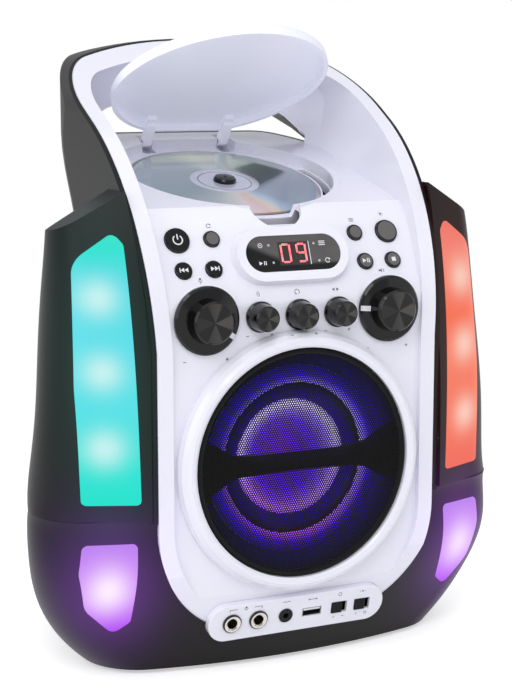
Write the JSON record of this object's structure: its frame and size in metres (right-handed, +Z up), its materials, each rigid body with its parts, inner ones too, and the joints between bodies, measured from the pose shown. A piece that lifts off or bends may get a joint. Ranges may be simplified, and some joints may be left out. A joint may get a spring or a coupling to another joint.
{
  "type": "karaoke machine",
  "caption": "Tabletop karaoke machine with a round speaker behind a lit grille, lit side lenses, knobs, buttons, a digit window and a disc well under a hinged round lid.",
  "frame": {"origin": "on the floor under the middle of the footprint, half way between the widest sides and between the foremost knob and the flat back", "axes": "+X to the viewer's right when facing the speaker, +Y from the front to the back, +Z up"},
  "size_m": [0.3106, 0.2063, 0.388],
  "materials": {
    "white_gloss": "glossy moulded plastic, cool white",
    "well_white": "glossy moulded plastic, cool white",
    "charcoal_plastic": "satin moulded plastic, fine texture",
    "lid_white": "glossy moulded plastic, cool white",
    "knob_black": "glossy black moulded plastic",
    "display_black": "polished smoked window",
    "black_plastic": "satin black moulded plastic",
    "cyan_lens": "frosted lens lit cyan from behind",
    "coral_lens": "frosted lens lit coral from behind",
    "violet_lens": "frosted lens lit violet from behind",
    "lamp_white": "white light board with lamp chips",
    "ring_violet": "translucent light ring, lit violet",
    "cone_violet": "pressed speaker cone",
    "grille_metal": "perforated sheet, dark satin paint",
    "black_metal": "black painted pressed steel",
    "dark_rubber": "soft matt rubber",
    "disc_silver": "mirror layer under clear polycarbonate",
    "jack_chrome": "plated ring",
    "steel": "plain steel",
    "screw_steel": "blackened steel",
    "drive_grey": "moulded drive plastic",
    "circuit_board": "fibre circuit board"
  },
  "bodies": {
    "machine": {"arch_hood": "charcoal_plastic", "aux_jack": "black_plastic", "cabinet_screws": "screw_steel", "cone_surround": "dark_rubber", "control_board": "circuit_board", "disc_well": "well_white", "display_module": "circuit_board", "display_window": "display_black", "drive_deck": "drive_grey", "front_cabinet": "charcoal_plastic", "front_fascia": "white_gloss", "grille_crossbar": "black_plastic", "guide_rods": "steel", "hinge_pins": "steel", "left_base_lens": "violet_lens", "left_base_light": "lamp_white", "left_mic_jack": "jack_chrome", "left_tower": "charcoal_plastic", "left_tower_lens": "cyan_lens", "left_tower_lights": "lamp_white", "light_ring": "ring_violet", "main_board": "circuit_board", "potentiometers": "drive_grey", "power_inlet": "black_plastic", "rear_cabinet": "charcoal_plastic", "right_base_lens": "violet_lens", "right_base_light": "lamp_white", "right_mic_jack": "jack_chrome", "right_tower": "charcoal_plastic", "right_tower_lens": "coral_lens", "right_tower_lights": "lamp_white", "rubber_feet": "dark_rubber", "socket_board": "circuit_board", "socket_plate": "white_gloss", "speaker_basket": "black_metal", "speaker_grille": "grille_metal", "speaker_magnet": "steel", "spindle_motor": "steel", "usb_port": "steel"},
    "lid": {"disc_lid": "lid_white"},
    "platter": {"spindle_hub": "black_plastic", "disc": "disc_silver"},
    "sled": {"lens_sled": "drive_grey"},
    "screw": {"feed_screw": "steel"},
    "cone": {"speaker_cone": "cone_violet"},
    "function_slider": {"function_switch": "black_plastic"},
    "light_slider": {"light_switch": "black_plastic"},
    "mic_volume_knob": {"mic_volume_knob": "knob_black"},
    "echo_knob": {"echo_knob": "knob_black"},
    "talkover_knob": {"talkover_knob": "knob_black"},
    "balance_knob": {"balance_knob": "knob_black"},
    "master_volume_knob": {"master_volume_knob": "knob_black"},
    "power_button": {"power_button": "knob_black"},
    "repeat_button": {"repeat_button": "knob_black"},
    "previous_button": {"previous_button": "knob_black"},
    "next_button": {"next_button": "knob_black"},
    "program_button": {"program_button": "knob_black"},
    "lights_button": {"lights_button": "knob_black"},
    "play_button": {"play_button": "knob_black"},
    "stop_button": {"stop_button": "knob_black"}
  },
  "joints": [
    {"name": "lid_hinge", "type": "hinge", "parent": "machine", "child": "lid", "pos_m": [0, 0.08575, 0.3133], "axis": [1, 0, 0], "range_deg": [0, 42.8]},
    {"name": "disc_spin", "type": "hinge", "parent": "machine", "child": "platter", "pos_m": [0, 0.0184, 0.2901], "axis": [0, -0.2723, 0.9622], "continuous": true},
    {"name": "screw_turn", "type": "hinge", "parent": "machine", "child": "screw", "pos_m": [0.01891, 0.03501, 0.28566], "axis": [0.788, 0.5924, 0.1676], "range_deg": [0, 4140.1]},
    {"name": "sled_slide", "type": "slide", "parent": "machine", "child": "sled", "axis": [0.788, 0.5924, 0.1676], "range_m": [0, 0.023]},
    {"name": "cone_stroke", "type": "slide", "parent": "machine", "child": "cone", "axis": [0, -1, 0], "range_m": [-0.0015, 0.0015], "stiffness_N_per_m": 1200},
    {"name": "function_slide", "type": "slide", "parent": "machine", "child": "function_slider", "axis": [1, 0, 0], "range_m": [0, 0.0034]},
    {"name": "light_slide", "type": "slide", "parent": "machine", "child": "light_slider", "axis": [1, 0, 0], "range_m": [0, 0.0034]},
    {"name": "mic_volume_knob_turn", "type": "hinge", "parent": "machine", "child": "mic_volume_knob", "pos_m": [-0.0605, -0.0889, 0.21725], "axis": [0, -1, 0], "range_deg": [-30, 270]},
    {"name": "echo_knob_turn", "type": "hinge", "parent": "machine", "child": "echo_knob", "pos_m": [-0.02585, -0.0889, 0.21725], "axis": [0, -1, 0], "range_deg": [-285, 15]},
    {"name": "talkover_knob_turn", "type": "hinge", "parent": "machine", "child": "talkover_knob", "pos_m": [0, -0.0889, 0.21725], "axis": [0, -1, 0], "range_deg": [-285, 15]},
    {"name": "balance_knob_turn", "type": "hinge", "parent": "machine", "child": "balance_knob", "pos_m": [0.02585, -0.0889, 0.21725], "axis": [0, -1, 0], "range_deg": [-285, 15]},
    {"name": "master_volume_knob_turn", "type": "hinge", "parent": "machine", "child": "master_volume_knob", "pos_m": [0.0605, -0.0889, 0.21725], "axis": [0, -1, 0], "range_deg": [-240, 60]},
    {"name": "power_button_press", "type": "slide", "parent": "machine", "child": "power_button", "axis": [0, 0.8829, -0.4695], "range_m": [0, 0.0008], "stiffness_N_per_m": 900},
    {"name": "repeat_button_press", "type": "slide", "parent": "machine", "child": "repeat_button", "axis": [0, 0.8829, -0.4695], "range_m": [0, 0.0008], "stiffness_N_per_m": 900},
    {"name": "previous_button_press", "type": "slide", "parent": "machine", "child": "previous_button", "axis": [0, 0.8829, -0.4695], "range_m": [0, 0.0008], "stiffness_N_per_m": 900},
    {"name": "next_button_press", "type": "slide", "parent": "machine", "child": "next_button", "axis": [0, 0.8829, -0.4695], "range_m": [0, 0.0008], "stiffness_N_per_m": 900},
    {"name": "program_button_press", "type": "slide", "parent": "machine", "child": "program_button", "axis": [0, 0.8829, -0.4695], "range_m": [0, 0.0008], "stiffness_N_per_m": 900},
    {"name": "lights_button_press", "type": "slide", "parent": "machine", "child": "lights_button", "axis": [0, 0.8829, -0.4695], "range_m": [0, 0.0008], "stiffness_N_per_m": 900},
    {"name": "play_button_press", "type": "slide", "parent": "machine", "child": "play_button", "axis": [0, 0.8829, -0.4695], "range_m": [0, 0.0008], "stiffness_N_per_m": 900},
    {"name": "stop_button_press", "type": "slide", "parent": "machine", "child": "stop_button", "axis": [0, 0.8829, -0.4695], "range_m": [0, 0.0008], "stiffness_N_per_m": 900}
  ],
  "couplings": [
    {"joint": "screw_turn", "follows": "sled_slide", "rad_per_m": 3141.6}
  ]
}
